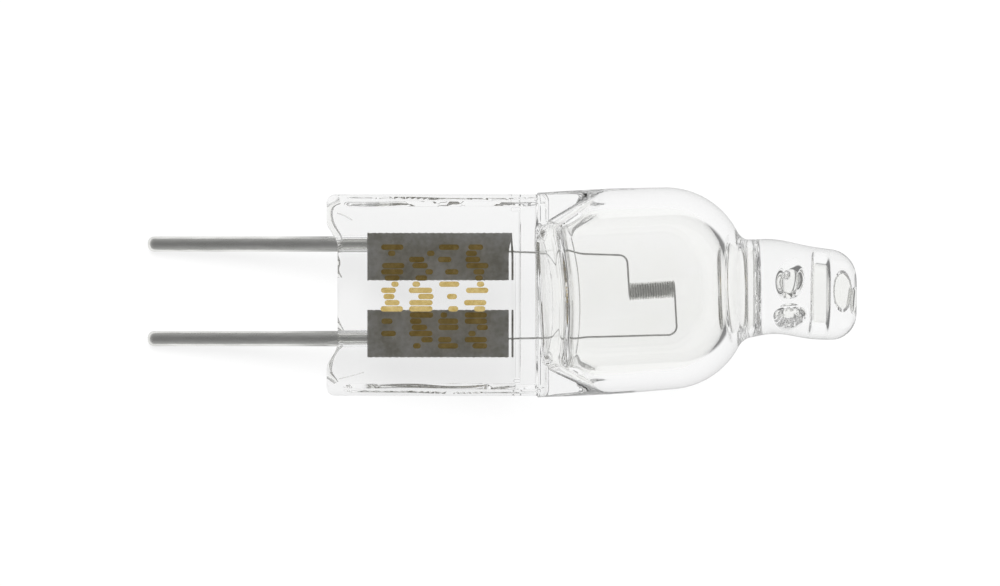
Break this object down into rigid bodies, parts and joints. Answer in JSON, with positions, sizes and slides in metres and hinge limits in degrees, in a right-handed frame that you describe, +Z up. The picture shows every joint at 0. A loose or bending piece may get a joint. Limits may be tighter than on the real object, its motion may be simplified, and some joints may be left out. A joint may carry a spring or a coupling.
{
  "type": "halogen capsule bulb",
  "caption": "Clear glass halogen capsule bulb with a melted-off tip, a flat pinched seal with metal foils inside, a coiled filament on wire legs, and parallel contact pins.",
  "frame": {"origin": "middle of the bulb's box, on the surface it lies on", "axes": "+X along the bulb from the pins to the tip, +Y across the flat pinch, +Z up; the tip is raised, because the bulb lies on its pin ends and its belly"},
  "size_m": [0.0294, 0.009, 0.0093],
  "materials": {
    "quartz_glass": "clear, fire-polished",
    "pin_metal": "drawn wire, satin",
    "foil_metal": "rolled strip, mottled",
    "filament_metal": "drawn wire, matt"
  },
  "bodies": {
    "root": {"glass_envelope": "quartz_glass", "upper_pin": "pin_metal", "lower_pin": "pin_metal", "upper_foil": "foil_metal", "lower_foil": "foil_metal", "filament": "filament_metal"}
  },
  "joints": []
}
